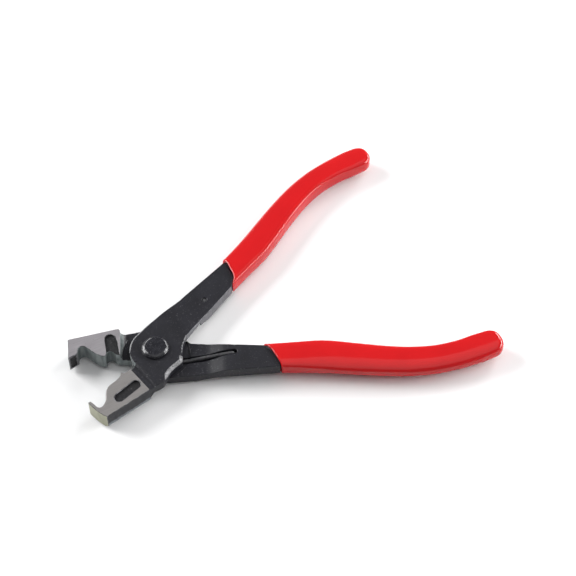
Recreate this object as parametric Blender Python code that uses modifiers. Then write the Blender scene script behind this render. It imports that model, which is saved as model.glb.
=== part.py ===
"""Click-type hose clamp pliers: two crossed levers on a rivet, a wire spring in the lap joint and dipped grips.

The tool lies flat and open. The pivot axis is the world Z axis, the handles point to +X and the jaws to -X.
Both levers are forgings of one pattern. Each is built in the front lever's frame, with its lap face towards -Z
and its handle at +Y, and the rear lever is then turned over about X. Lengths below are in millimetres.
"""

import math

import bmesh
import bpy
from mathutils import Matrix, Vector

MM = 0.001

# Joint
RIVET_HEAD_HEIGHT = 1.5
JAW_HALF = 4.0
FACE_GAP = 0.15
MID_HEIGHT = RIVET_HEAD_HEIGHT + JAW_HALF
LAP_GAP = 0.15
BOSS_RADIUS = 10.5
RECESS_RADIUS = 13.7
RECESS_FILLET = 3.0
SHANK_RADIUS = 3.0
SHANK_CLEARANCE = 0.1
RIVET_HEAD_RADIUS = 5.7
RIVET_FLAT_RADIUS = 4.1
RIVET_RIM_HEIGHT = 0.25
PIN_SEGMENTS = 64

# Handles
HANDLE_HALF = 2.5
HANDLE_AXIS_DEGREES = 22.0
OUTER_EDGE_SLOPE = 0.4
REAR_EDGE_OFFSET = 1.65
ROOT_BACK = 0.2
FACE_FALL = (13.0, 27.0)
BACK_FALL = (19.0, 30.0)
CROTCH_RELIEF = 0.75
GRIP_HALF = 3.55
GRIP_WALL = 1.0
PALM_EXTRA_WALL = 1.0
GRIP_GAP = 0.3
SHOULDER_GAP = 0.5
GRIP_COLUMNS = 28
GRIP_TIP_STEPS = 7
# Where each grip's mouth crosses the handle's outer edge, its middle and its inner edge, along X
FRONT_MOUTH = (44.4, 45.2, 42.4)
REAR_MOUTH = (42.3, 42.4, 40.9)

# Return spring
WIRE_RADIUS = 0.8
COIL_RADIUS = 4.6
LEG_DEPTH = 1.0
LEG_SLOPE = 0.345
LEG_FLAT = 12.5
LEG_LENGTH = 33.2
LEG_RISE = 2.65
LEG_BEND = 1.5
WIRE_CLEARANCE = 0.15
CHANNEL_HALF_WIDTH = 1.0
GROOVE_END_RADIUS = 1.1
GROOVE_OPEN_SIDE = 2.2
TIP_HOLE_RADIUS = 1.1

# Depth of the spring's channel and groove above the mid-plane
GROOVE_FLOOR = LEG_DEPTH + WIRE_RADIUS + WIRE_CLEARANCE

# Jaws
POCKET_DEPTH = 0.8
POCKET_HALF_WIDTH = 1.95
NECK_STEP = 0.4
BACK_CHAMFER = 1.3

# Edges sharper than this stay crisp in the shading
SHARP_DEGREES = 30.0

STEEL_DARK = (0.035, 0.036, 0.042, 1.0)
STEEL_RIVET = (0.03, 0.03, 0.035, 1.0)
STEEL_WIRE = (0.09, 0.09, 0.1, 1.0)
VINYL_RED = (0.72, 0.012, 0.016, 1.0)


def clear_scene():
    for old in list(bpy.data.objects):
        bpy.data.objects.remove(old, do_unlink=True)


def new_collection(name):
    collection = bpy.data.collections.new(name)
    bpy.context.scene.collection.children.link(collection)
    return collection


def principled(name, colour, roughness, metallic):
    material = bpy.data.materials.new(name)
    material.use_nodes = True
    shader = material.node_tree.nodes["Principled BSDF"]
    shader.inputs["Base Color"].default_value = colour
    shader.inputs["Roughness"].default_value = roughness
    shader.inputs["Metallic"].default_value = metallic
    return material


def spline(points, steps=4):
    """Points on a smooth curve through the given ones, both ends included."""
    knots = [Vector(p) for p in points]
    knots = [2 * knots[0] - knots[1]] + knots + [2 * knots[-1] - knots[-2]]
    curve = []
    for i in range(1, len(knots) - 2):
        before, start, end, after = knots[i - 1 : i + 3]
        for step in range(steps):
            t = step / steps
            curve.append(
                0.5 * (2 * start + (end - before) * t
                       + (2 * before - 5 * start + 4 * end - after) * t ** 2
                       + (3 * start - before - 3 * end + after) * t ** 3)
            )
    curve.append(knots[-2])
    return [tuple(p) for p in curve]


def arc(radius, start_degrees, end_degrees, steps, centre=(0.0, 0.0)):
    angles = [math.radians(start_degrees + (end_degrees - start_degrees) * i / steps) for i in range(steps + 1)]
    return [(centre[0] + radius * math.cos(a), centre[1] + radius * math.sin(a)) for a in angles]


def flipped(points):
    return [(x, -y) for x, y in points]


def mesh_object(name, mesh, collection):
    thing = bpy.data.objects.new(name, mesh)
    collection.objects.link(thing)
    return thing


def prism(name, points, low, high, collection):
    """A flat outline as a filled 2D curve, extruded from one height to the other and made a mesh."""
    curve = bpy.data.curves.new(name + "_outline", "CURVE")
    curve.dimensions = "2D"
    curve.fill_mode = "BOTH"
    curve.extrude = (high - low) / 2 * MM
    line = curve.splines.new("POLY")
    line.points.add(len(points) - 1)
    line.use_cyclic_u = True
    for place, (x, y) in zip(line.points, points):
        place.co = (x * MM, y * MM, 0.0, 1.0)
    guide = mesh_object(name + "_outline", curve, collection)
    bpy.context.view_layer.update()
    evaluated = guide.evaluated_get(bpy.context.evaluated_depsgraph_get())
    mesh = bpy.data.meshes.new_from_object(evaluated)
    bpy.data.objects.remove(guide, do_unlink=True)
    bpy.data.curves.remove(curve)
    shape = bmesh.new()
    shape.from_mesh(mesh)
    bmesh.ops.remove_doubles(shape, verts=shape.verts, dist=1e-6)
    bmesh.ops.dissolve_limit(shape, angle_limit=math.radians(0.2), verts=shape.verts, edges=shape.edges)
    bmesh.ops.translate(shape, verts=shape.verts, vec=(0, 0, (low + high) / 2 * MM))
    bmesh.ops.recalc_face_normals(shape, faces=shape.faces)
    shape.to_mesh(mesh)
    shape.free()
    mesh.name = name
    return mesh_object(name, mesh, collection)


def cylinder(name, radius, low, high, collection, centre=(0.0, 0.0), segments=PIN_SEGMENTS):
    shape = bmesh.new()
    bmesh.ops.create_cone(shape, cap_ends=True, segments=segments, radius1=radius * MM, radius2=radius * MM,
                          depth=(high - low) * MM)
    bmesh.ops.translate(shape, verts=shape.verts,
                        vec=(centre[0] * MM, centre[1] * MM, (low + high) / 2 * MM))
    mesh = bpy.data.meshes.new(name)
    shape.to_mesh(mesh)
    shape.free()
    return mesh_object(name, mesh, collection)


def turned(name, profile, steps, collection):
    """A solid of revolution about Z from (radius, height) points, listed from top to bottom."""
    mesh = bpy.data.meshes.new(name)
    points = [(r * MM, 0.0, z * MM) for r, z in profile]
    mesh.from_pydata(points, [(i, i + 1) for i in range(len(points) - 1)], [])
    thing = mesh_object(name, mesh, collection)
    screw = thing.modifiers.new("turn", "SCREW")
    screw.axis = "Z"
    screw.steps = steps
    screw.render_steps = steps
    screw.use_merge_vertices = True
    screw.merge_threshold = 1e-6
    return thing


def as_cutter(thing):
    thing.hide_render = True
    thing.display_type = "WIRE"
    return thing


def boolean(thing, other, operation):
    modifier = thing.modifiers.new(other.name, "BOOLEAN")
    modifier.operation = operation
    modifier.object = as_cutter(other)
    modifier.solver = "EXACT"


def shade_smooth(mesh):
    mesh.shade_smooth()
    mesh.set_sharp_from_angle(angle=math.radians(SHARP_DEGREES))


def bake(thing):
    """Applies the modifiers, makes faces that lie in one plane one face, and shades the mesh smooth."""
    bpy.context.view_layer.update()
    evaluated = thing.evaluated_get(bpy.context.evaluated_depsgraph_get())
    mesh = bpy.data.meshes.new_from_object(evaluated)
    thing.modifiers.clear()
    shape = bmesh.new()
    shape.from_mesh(mesh)
    bmesh.ops.remove_doubles(shape, verts=shape.verts, dist=2e-6)
    bmesh.ops.dissolve_degenerate(shape, edges=shape.edges, dist=1e-6)
    bmesh.ops.dissolve_limit(shape, angle_limit=math.radians(0.2), verts=shape.verts, edges=shape.edges)
    shape.to_mesh(mesh)
    shape.free()
    old = thing.data
    thing.data = mesh
    shade_smooth(mesh)
    bpy.data.meshes.remove(old)


# Outlines, in the front lever's frame

BOSS_TANGENT_DEGREES = 90 + math.degrees(math.atan(OUTER_EDGE_SLOPE))

# Each lever's inner edge, from its root out to the grip's mouth
FRONT_INNER_EDGE = [(15.8, 1.35), (19.2, 3.35), (23.6, 6.1), (31.0, 10.1), (38.4, 14.2), (46.0, 18.4)]
REAR_INNER_EDGE = [(14.9, 1.7), (18.8, 3.9), (22.8, 6.8), (26.8, 9.8), (31.1, 12.4), (35.4, 14.8),
                   (46.0, 20.5)]

HEEL = (
    spline([(13.9, 0.1), (12.3, -1.6), (10.6, -3.6), (9.4, -5.8), (8.4, -8.2), (7.6, -10.0)], 3)
    + [(6.8, -10.7)]
)
FRONT_NECK_BOTTOM = spline([(6.8, -10.7), (4.2, -11.5), (1.3, -12.7), (-0.9, -14.3), (-3.6, -16.7)], 3)[1:]

FRONT_JAW = (
    [(-10.0, -17.5), (-30.0, -21.7)]
    + spline([(-31.0, -20.4), (-32.1, -18.3), (-33.0, -16.1), (-33.8, -13.8), (-34.2, -12.2)], 2)
    + [(-33.2, -12.1)]
    + spline([(-32.6, -13.5), (-31.9, -15.1), (-31.2, -16.1), (-30.4, -16.35), (-29.4, -16.0), (-28.2, -15.0),
              (-27.3, -13.7), (-26.6, -12.0), (-25.7, -10.2), (-24.4, -8.8), (-22.8, -8.0), (-20.2, -7.2),
              (-17.7, -5.9)], 3)
    + [(-17.1, -4.7), (-16.7, -4.85)]
    + spline([(-16.2, -5.4), (-15.4, -5.5), (-13.2, -4.9)], 2)
    + spline([(-12.2, -4.95), (-11.2, -4.5), (-10.15, -3.6)], 2)
)

# The rear lever's jaw, already turned into the front lever's frame (y and z change sign)
REAR_NECK_TOP = flipped(spline([(6.8, 10.7), (4.2, 11.5), (1.3, 12.7), (-3.1, 13.9), (-9.2, 15.15)], 3))[1:]
REAR_JAW = flipped(
    [(-9.7, 15.85), (-10.5, 16.15), (-30.1, 20.1), (-33.4, 11.2), (-29.1, 12.1)]
    + spline([(-28.7, 13.1), (-28.0, 14.1), (-26.9, 14.6), (-25.6, 14.2), (-24.6, 12.9), (-23.8, 11.1),
              (-22.9, 9.2), (-21.7, 7.4), (-20.5, 6.1), (-19.7, 5.75), (-19.1, 6.05), (-18.8, 6.7)], 3)
    + [(-18.5, 7.5), (-17.2, 7.7), (-16.3, 7.4)]
    + spline([(-15.9, 6.6), (-15.3, 5.2), (-14.5, 4.3), (-12.6, 3.2), (-10.75, 2.0)], 2)
)

HANDLE_CENTRE = [(42.0, 23.0), (50.0, 26.9), (60.0, 31.9), (70.0, 38.1), (80.0, 44.4), (90.0, 50.0),
                 (100.0, 54.0), (110.0, 56.2), (118.0, 56.9), (123.2, 57.1)]
# Half widths of each dipped grip along that line, towards its palm side and towards its inner side
FRONT_WIDTHS = ([5.7, 6.0, 6.7, 6.7, 6.35, 6.0, 5.8, 5.9, 6.2, 6.0],
                [6.1, 6.0, 6.2, 5.85, 5.5, 5.3, 5.2, 5.3, 5.7, 5.6])
REAR_WIDTHS = ([6.6, 6.9, 7.4, 7.2, 6.7, 6.4, 6.1, 6.0, 6.1, 5.9],
               [5.7, 6.4, 7.2, 7.0, 6.7, 6.3, 5.9, 5.8, 5.9, 5.6])
TIP_STEPS = 12
MOUTH_STEPS = 8
MOUTH_RINGS = 4
TIP_ROUNDING = 2.6


def mouth_x(mouth, share):
    """Where a mouth runs, from the handle's outer edge (share 0) to its inner edge (share 1)."""
    outer, middle, inner = mouth
    return (outer * (1 - share) * (1 - 2 * share) + middle * 4 * share * (1 - share)
            + inner * share * (2 * share - 1))


def mouth_curve(mouth, start, end):
    """Points along a mouth between two points on the handle's opposite edges, those two left out."""
    from_share, to_share = (0.0, 1.0) if start[1] > end[1] else (1.0, 0.0)
    points = []
    for i in range(1, MOUTH_STEPS):
        part = i / MOUTH_STEPS
        share = from_share + (to_share - from_share) * part
        points.append((mouth_x(mouth, share), start[1] + (end[1] - start[1]) * part))
    return points


def handle_line(widths):
    """The handle's centreline as (x, y, outer half width, inner half width) points."""
    return spline([(x, y, w, v) for (x, y), w, v in zip(HANDLE_CENTRE, *widths)], 3)


def handle_sides(inset, widths):
    """The handle's sides, drawn in by inset and by a thicker wall on the palm's side, with its end.

    Returns outer points, inner points and (end centre, end half width, heading).
    """
    line = handle_line(widths)
    outer = []
    inner = []
    for i, (x, y, outer_width, inner_width) in enumerate(line):
        ahead = line[min(i + 1, len(line) - 1)]
        behind = line[max(i - 1, 0)]
        along = Vector((ahead[0] - behind[0], ahead[1] - behind[1])).normalized()
        across = Vector((-along.y, along.x))
        centre = Vector((x, y))
        outer.append(tuple(centre + across * (outer_width - inset - PALM_EXTRA_WALL)))
        inner.append(tuple(centre - across * (inner_width - inset)))
    middle = (Vector(outer[-1]) + Vector(inner[-1])) / 2
    radius = (Vector(outer[-1]) - Vector(inner[-1])).length / 2
    heading = math.degrees(math.atan2(outer[-1][1] - inner[-1][1], outer[-1][0] - inner[-1][0]))
    return outer, inner, (tuple(middle), radius, heading)


def tang_outline(mouth, widths, inset):
    """The handle's swept outline, drawn in by inset, from its mouth round the tip and back to the mouth."""
    outer, inner, (middle, radius, heading) = handle_sides(inset, widths)
    tip = arc(radius, heading, heading - 180.0, TIP_STEPS, middle)[1:-1]

    def clipped(side, start):
        kept = [p for p in side if p[0] > start + 0.5]
        first = kept[0]
        before = side[side.index(first) - 1] if side.index(first) else side[1]
        slope = (first[1] - before[1]) / (first[0] - before[0])
        return [(start, first[1] - slope * (first[0] - start))] + kept

    share = inset / (widths[0][0] + widths[1][0])
    return clipped(outer, mouth_x(mouth, share)) + tip + clipped(inner, mouth_x(mouth, 1 - share))[::-1]


def outer_edge_y(x, offset):
    foot = arc(BOSS_RADIUS + offset, BOSS_TANGENT_DEGREES, BOSS_TANGENT_DEGREES, 1)[0]
    return foot[1] + OUTER_EDGE_SLOPE * (x - foot[0])


def height_on(line, x):
    """The height at x of a line of points that runs along X."""
    for (x0, y0), (x1, y1) in zip(line, line[1:]):
        if x <= x1:
            break
    return y0 + (y1 - y0) * (x - x0) / (x1 - x0)


def smooth_step(value):
    value = min(max(value, 0.0), 1.0)
    return value * value * (3 - 2 * value)


class Pattern:
    """What differs between the two forgings, in the front lever's frame."""

    def __init__(self, neck, jaw, wall, mouth, inner_edge, widths, edge_offset):
        self.neck = neck
        self.jaw = jaw
        self.wall = wall
        self.mouth = mouth
        self.shoulder = [x - SHOULDER_GAP for x in mouth]
        self.inner_edge = inner_edge
        self.widths = widths
        self.edge_offset = edge_offset

    def shoulder_ends(self):
        """Where the shoulder, at the grip's mouth, meets the handle's outer and inner edges."""
        outer_x, _, inner_x = self.shoulder
        return (outer_x, outer_edge_y(outer_x, self.edge_offset)), (inner_x, height_on(self.inner_edge, inner_x))

    def outline(self):
        """Boss, handle up to the grip's mouth, tang inside the grip, heel, neck and jaw, as one closed outline."""
        boss_start = math.degrees(math.atan2(self.jaw[-1][1], self.jaw[-1][0])) % 360 - 1.5
        boss = []
        for x, y in arc(BOSS_RADIUS, boss_start, BOSS_TANGENT_DEGREES, 14):
            share = (boss_start - math.degrees(math.atan2(y, x)) % 360) / (boss_start - BOSS_TANGENT_DEGREES)
            swell = 1 + self.edge_offset / BOSS_RADIUS * smooth_step(share)
            boss.append((x * swell, y * swell))
        tang = tang_outline(self.shoulder, self.widths, GRIP_WALL + GRIP_GAP)
        outer_end, inner_end = self.shoulder_ends()
        edge = [p for p in self.inner_edge if p[0] < inner_end[0] - 1.0]
        return boss + [outer_end] + tang + [inner_end] + edge[::-1] + HEEL + self.neck + self.jaw


FRONT_PATTERN = Pattern(FRONT_NECK_BOTTOM, FRONT_JAW, ((-10.0, -17.5), (-13.2, -4.85)), FRONT_MOUTH,
                        FRONT_INNER_EDGE, FRONT_WIDTHS, 0.0)
REAR_PATTERN = Pattern(REAR_NECK_TOP, REAR_JAW, ((-9.4, -14.7), (-13.7, -4.0)), REAR_MOUTH,
                       REAR_INNER_EDGE, REAR_WIDTHS, REAR_EDGE_OFFSET)


def side_profile():
    """The lever's thickness seen from the side: (distance along the handle, height) points."""
    steps = 6

    def fall(span, start, end):
        return [(span[0] + (span[1] - span[0]) * i / steps, start + (end - start) * smooth_step(i / steps))
                for i in range(steps + 1)]

    face_fall = fall(FACE_FALL, JAW_HALF, HANDLE_HALF)
    back_fall = fall(BACK_FALL, -ROOT_BACK, -HANDLE_HALF)
    return (
        [(-60.0, JAW_HALF)] + face_fall + [(170.0, HANDLE_HALF), (170.0, -HANDLE_HALF)] + back_fall[::-1]
        + [(2.0, -ROOT_BACK), (-2.0, -JAW_HALF), (-60.0, -JAW_HALF)]
    )


def stand_up(thing, degrees):
    """Turns a prism drawn in (along, height) so that it stands across the handle's direction."""
    turn = Matrix.Rotation(math.radians(degrees), 4, "Z") @ Matrix.Rotation(math.radians(90), 4, "X")
    thing.data.transform(turn)


def groove_cutter(name, collection):
    """The spring leg's groove: wide at the joint, narrow at its round end, its floor rising with the leg."""
    end = LEG_LENGTH - LEG_BEND
    outline = (
        [(0.0, -CHANNEL_HALF_WIDTH), (LEG_FLAT, -GROOVE_END_RADIUS)]
        + arc(GROOVE_END_RADIUS, -90, 90, 8, (end, 0.0))
        + [(LEG_FLAT, GROOVE_OPEN_SIDE), (0.0, CHANNEL_HALF_WIDTH)]
    )
    groove = prism(name, outline, -10.0, 0.0, collection)
    shape = bmesh.new()
    shape.from_mesh(groove.data)
    bmesh.ops.bisect_plane(shape, geom=shape.verts[:] + shape.edges[:] + shape.faces[:],
                           plane_co=(LEG_FLAT * MM, 0, 0), plane_no=(1, 0, 0))
    for vertex in shape.verts:
        if vertex.co.z > -0.001:
            along = vertex.co.x / MM
            rise = LEG_RISE * max(0.0, along - LEG_FLAT) / (end - LEG_FLAT)
            vertex.co.z = (GROOVE_FLOOR - rise) * MM
    bmesh.ops.triangulate(shape, faces=[f for f in shape.faces if len(f.verts) > 4])
    shape.to_mesh(groove.data)
    shape.free()
    groove.data.transform(leg_frame())
    return groove


def leg_frame():
    """From (along the leg, across it towards the handle's outer edge, height) to the front lever's frame."""
    along = Vector((1.0, LEG_SLOPE, 0.0)).normalized()
    across = Vector((-along.y, along.x, 0.0))
    foot = across * COIL_RADIUS * MM
    frame = Matrix.Identity(4)
    frame.col[0] = (*along, 0.0)
    frame.col[1] = (*across, 0.0)
    frame.col[2] = (0.0, 0.0, 1.0, 0.0)
    frame.col[3] = (*foot, 1.0)
    return frame


def break_edges(mesh, is_wanted, width, segments):
    """Bevels the edges whose two ends both pass the test, given in millimetres."""
    shape = bmesh.new()
    shape.from_mesh(mesh)
    edges = [e for e in shape.edges if all(is_wanted(v.co / MM) for v in e.verts)]
    bmesh.ops.bevel(shape, geom=edges, offset=width * MM, segments=segments, profile=0.5, affect="EDGES",
                    clamp_overlap=True)
    bmesh.ops.recalc_face_normals(shape, faces=shape.faces)
    shape.to_mesh(mesh)
    shape.free()


def lever(name, pattern, collection, cutters):
    """One forging: the outline thinned to the side profile, with its lap face, recess, bore and groove."""
    body = prism(name, pattern.outline(), -JAW_HALF, JAW_HALF, collection)
    sides = prism(name + "_sides", side_profile(), -90.0, 90.0, cutters)
    stand_up(sides, HANDLE_AXIS_DEGREES)
    boolean(body, sides, "INTERSECT")

    thin = GRIP_HALF - GRIP_WALL - GRIP_GAP
    shoulder = pattern.shoulder
    outer_end, inner_end = pattern.shoulder_ends()
    slab = ([(shoulder[0], 90.0), outer_end] + mouth_curve(shoulder, outer_end, inner_end)
            + [inner_end, (shoulder[2], 0.0), (150.0, 0.0), (150.0, 90.0)])
    for tag, low, high in (("_tang_front", thin, 6.0), ("_tang_back", -6.0, -thin)):
        boolean(body, prism(name + tag, slab, low, high, cutters), "DIFFERENCE")

    disc = arc(RECESS_RADIUS, 0, 360, 72)[:-1]
    boolean(body, prism(name + "_lap", disc, -6.0, LAP_GAP, cutters), "DIFFERENCE")

    top, bottom = pattern.wall
    inward = Vector((top[1] - bottom[1], bottom[0] - top[0])).normalized()
    if inward.dot(Vector(top)) > 0:
        inward = -inward
    span = Vector(top) - Vector(bottom)
    far_top = Vector(top) + span.normalized() * 6.0
    far_bottom = Vector(bottom) - span.normalized() * 6.0
    reach = inward * 15.0
    recess = [tuple(p) for p in (far_top, far_bottom, far_bottom + reach, far_top + reach)]
    pocket = prism(name + "_recess", recess, -6.0, LAP_GAP, cutters)

    def on_wall(place):
        offset = (Vector((place.x, place.y)) - Vector(bottom)).dot(inward)
        return abs(offset) < 0.01 and abs(place.z - LAP_GAP) < 0.01

    break_edges(pocket.data, on_wall, RECESS_FILLET, 5)
    boolean(body, pocket, "DIFFERENCE")

    bore = cylinder(name + "_bore", SHANK_RADIUS + SHANK_CLEARANCE, -8.0, 8.0, cutters)
    boolean(body, bore, "DIFFERENCE")
    outside, inside = COIL_RADIUS + CHANNEL_HALF_WIDTH, COIL_RADIUS - CHANNEL_HALF_WIDTH
    ring = [(outside, GROOVE_FLOOR), (outside, -6.0), (inside, -6.0), (inside, GROOVE_FLOOR)]
    ring.append(ring[0])
    channel = turned(name + "_channel", ring, PIN_SEGMENTS, cutters)
    boolean(body, channel, "DIFFERENCE")
    boolean(body, groove_cutter(name + "_groove", cutters), "DIFFERENCE")
    tip = leg_frame() @ Vector(((LEG_LENGTH - LEG_BEND) * MM, 0.0, 0.0)) / MM
    hole = cylinder(name + "_hole", TIP_HOLE_RADIUS, -8.0, 8.0, cutters, (tip.x, tip.y), 20)
    boolean(body, hole, "DIFFERENCE")
    return body


def chamfer_cutter(name, start, end, width, collection):
    """A bar that takes a 45 degree chamfer off a lever's back edge, between two points of its outline."""
    run = Vector((end[0] - start[0], end[1] - start[1], 0.0))
    along = run.normalized()
    up = Vector((0.0, 0.0, 1.0))
    inward = up.cross(along)
    corner = [(-1.0, -1.0), (width + 1.0, -1.0), (-1.0, width + 1.0)]
    bar = prism(name, corner, -4.0, run.length + 2.0, collection)
    frame = Matrix.Identity(4)
    frame.col[0] = (*inward, 0.0)
    frame.col[1] = (*up, 0.0)
    frame.col[2] = (*along, 0.0)
    frame.col[3] = (start[0] * MM, start[1] * MM, -JAW_HALF * MM, 1.0)
    bar.data.transform(frame)
    return bar


def make_levers(parts, cutters):
    steel = principled("black_oxide_steel", STEEL_DARK, 0.42, 0.9)
    front = lever("lever_front", FRONT_PATTERN, parts, cutters)

    # Relief under the front lever's root, over which the rear lever's root passes as the handles close
    crotch = [(12.0, -4.0), (22.6, 3.2), (22.2, 6.8), (18.6, 7.6), (14.8, 8.2), (11.0, 9.0)]
    boolean(front, prism("crotch_relief", crotch, -6.0, CROTCH_RELIEF, cutters), "DIFFERENCE")

    boolean(front, chamfer_cutter("back_chamfer", (-30.0, -21.7), (-10.0, -17.5), BACK_CHAMFER, cutters),
            "DIFFERENCE")

    # Pocket in the ground face, and the stepped band between that face and the joint
    pocket_ends = ((-22.2, -15.5), (-14.05, -12.7))
    (left_x, left_y), (right_x, right_y) = pocket_ends
    tilt = math.degrees(math.atan2(right_y - left_y, right_x - left_x))
    pocket = (arc(POCKET_HALF_WIDTH, tilt + 90, tilt + 270, 10, pocket_ends[0])
              + arc(POCKET_HALF_WIDTH, tilt - 90, tilt + 90, 10, pocket_ends[1]))
    boolean(front, prism("front_pocket", pocket, JAW_HALF - POCKET_DEPTH, 6.0, cutters), "DIFFERENCE")
    for tag, right, drop in (("outer", 1.6, NECK_STEP / 2), ("inner", 0.0, NECK_STEP)):
        band = [(-13.6, -2.4), (-9.6, -19.5), (-7.0 + right, -19.5), (-10.9 + right, -2.4)]
        boolean(front, prism("neck_step_" + tag, band, JAW_HALF - drop, 6.0, cutters), "DIFFERENCE")

    rear = lever("lever_rear", REAR_PATTERN, parts, cutters)
    slot = flipped([(-19.1, 4.0), (-18.7, 6.4), (-17.7, 10.0)]
                   + spline([(-16.8, 13.2), (-15.9, 14.5), (-14.5, 15.05), (-13.1, 14.4), (-12.2, 12.9)], 3)
                   + [(-12.6, 9.6), (-13.5, 6.4), (-14.2, 3.0)])
    boolean(rear, prism("rear_pocket", slot, -6.0, -(JAW_HALF - POCKET_DEPTH), cutters), "DIFFERENCE")

    for body in (front, rear):
        bake(body)
        body.data.materials.append(steel)
    rear.data.transform(Matrix.Rotation(math.pi, 4, "X"))
    return front, rear


def make_rivet(parts):
    seat = JAW_HALF + FACE_GAP
    rim = seat + RIVET_RIM_HEIGHT
    crown = JAW_HALF + RIVET_HEAD_HEIGHT
    shoulder_steps = 5
    shoulder = []
    for i in range(shoulder_steps + 1):
        angle = math.radians(90 * i / shoulder_steps)
        shoulder.append((RIVET_FLAT_RADIUS + (RIVET_HEAD_RADIUS - RIVET_FLAT_RADIUS) * math.sin(angle),
                         rim + (crown - rim) * math.cos(angle)))
    upper = [(0.0, crown)] + shoulder + [(RIVET_HEAD_RADIUS, seat), (SHANK_RADIUS, seat)]
    profile = upper + [(r, -z) for r, z in reversed(upper)]
    rivet = turned("pivot_rivet", profile, PIN_SEGMENTS, parts)
    bake(rivet)
    rivet.data.materials.append(principled("rivet_steel", STEEL_RIVET, 0.35, 0.9))
    return rivet


def leg_points():
    """The centreline of one leg in its own frame, from the coil to the tip bent into its hole."""
    bend_start = LEG_LENGTH - LEG_BEND - 1.2
    height = -LEG_DEPTH + LEG_RISE
    points = [(1.0, LEG_DEPTH), (LEG_FLAT, LEG_DEPTH), (bend_start, -height + 0.15)]
    points += [(LEG_LENGTH - LEG_BEND - 0.35, -height + 0.3), (LEG_LENGTH - LEG_BEND, -height + 1.0)]
    points.append((LEG_LENGTH - LEG_BEND, HANDLE_HALF - 0.25))
    return [Vector((along * MM, 0.0, height * MM)) for along, height in points]


def make_spring(parts):
    """A hairpin of round wire: a leg in each lever, joined by an arc round the rivet on the jaws' side."""
    front_leg = [leg_frame() @ p for p in leg_points()]
    rear_leg = [Matrix.Rotation(math.pi, 4, "X") @ p for p in front_leg]
    start = math.degrees(math.atan(LEG_SLOPE)) + 90
    steps = 26
    bow = []
    for i in range(steps + 1):
        share = i / steps
        angle = math.radians(start + (360 - 2 * start) * share)
        height = LEG_DEPTH * math.cos(math.pi * share)
        bow.append(Vector((COIL_RADIUS * math.cos(angle), COIL_RADIUS * math.sin(angle), height)) * MM)
    route = front_leg[::-1] + bow + rear_leg
    curve = bpy.data.curves.new("return_spring", "CURVE")
    curve.dimensions = "3D"
    curve.bevel_depth = WIRE_RADIUS * MM
    curve.bevel_resolution = 2
    curve.use_fill_caps = True
    wire = curve.splines.new("POLY")
    wire.points.add(len(route) - 1)
    for place, point in zip(wire.points, route):
        place.co = (*point, 1.0)
    spring = mesh_object("return_spring", curve, parts)
    spring.data.materials.append(principled("spring_wire", STEEL_WIRE, 0.3, 1.0))
    return spring


def section_power(share, towards_outside):
    """How square the grip's section is: a palm side that is nearly an ellipse, and a flatter inner side."""
    if towards_outside:
        return 4.0 - 1.6 * smooth_step(share / 0.3) + 0.5 * smooth_step((share - 0.8) / 0.2)
    return 5.0 - 0.8 * smooth_step((share - 0.7) / 0.3)


def grip_ring(centre, along, outer_width, inner_width, half_height, share):
    """One section of the grip, as points round it that start at its outer edge."""
    across = Vector((-along.y, along.x, 0.0))
    ring = []
    for column in range(GRIP_COLUMNS):
        angle = 2 * math.pi * column / GRIP_COLUMNS
        c, s = math.cos(angle), math.sin(angle)
        power = section_power(share, c > 0)
        side = math.copysign(abs(c) ** (2 / power), c) * (outer_width if c > 0 else inner_width)
        height = math.copysign(abs(s) ** (2 / power), s) * half_height
        ring.append(Vector((centre.x, centre.y, 0.0)) + across * side + Vector((0.0, 0.0, height)))
    return ring


def grip_rings(pattern):
    """The grip's sections from its slanted mouth to its round tip."""
    line = handle_line(pattern.widths)
    places = [Vector(p[:2]) for p in line]
    rings = []
    for i, (_, _, outer_width, inner_width) in enumerate(line):
        along = (places[min(i + 1, len(line) - 1)] - places[max(i - 1, 0)]).normalized()
        rings.append(grip_ring(places[i], along, outer_width, inner_width, GRIP_HALF, i / len(line)))
    _, _, outer_width, inner_width = line[-1]
    radius = (outer_width + inner_width) / 2
    across = Vector((-along.y, along.x))
    end = places[-1] + across * (outer_width - inner_width) / 2
    for step in range(1, GRIP_TIP_STEPS + 1):
        angle = math.radians(86.0 * step / GRIP_TIP_STEPS)
        reach, width = radius * math.sin(angle), radius * math.cos(angle)
        edge = max(0.0, 1 - (radius - reach) / TIP_ROUNDING)
        height = GRIP_HALF * math.sqrt(1 - 0.75 * edge ** 2)
        rings.append(grip_ring(end + along * reach, along, width, width, height, 1.0))
    for column in range(GRIP_COLUMNS):
        side = (1 - math.cos(2 * math.pi * column / GRIP_COLUMNS)) / 2
        wanted = mouth_x(pattern.mouth, side)
        for ring in range(MOUTH_RINGS):
            point, beyond = rings[ring][column], rings[MOUTH_RINGS][column]
            start = rings[0][column]
            run = (beyond - start) / (beyond.x - start.x)
            first = start + run * (wanted - start.x)
            point.xyz = first.lerp(beyond, ring / MOUTH_RINGS)
    return rings


def loft(name, rings, collection):
    """A closed solid through rings of points, each the same length, with flat ends."""
    shape = bmesh.new()
    loops = [[shape.verts.new(p * MM) for p in ring] for ring in rings]
    for lower, upper in zip(loops, loops[1:]):
        for i in range(len(lower)):
            j = (i + 1) % len(lower)
            shape.faces.new((lower[i], lower[j], upper[j], upper[i]))
    for loop in (loops[0], loops[-1]):
        centre = shape.verts.new(sum((v.co for v in loop), Vector()) / len(loop))
        for i, vertex in enumerate(loop):
            shape.faces.new((vertex, loop[(i + 1) % len(loop)], centre))
    bmesh.ops.triangulate(shape, faces=[f for f in shape.faces if len(f.verts) > 3])
    bmesh.ops.recalc_face_normals(shape, faces=shape.faces)
    mesh = bpy.data.meshes.new(name)
    shape.to_mesh(mesh)
    shape.free()
    return mesh_object(name, mesh, collection)


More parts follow.
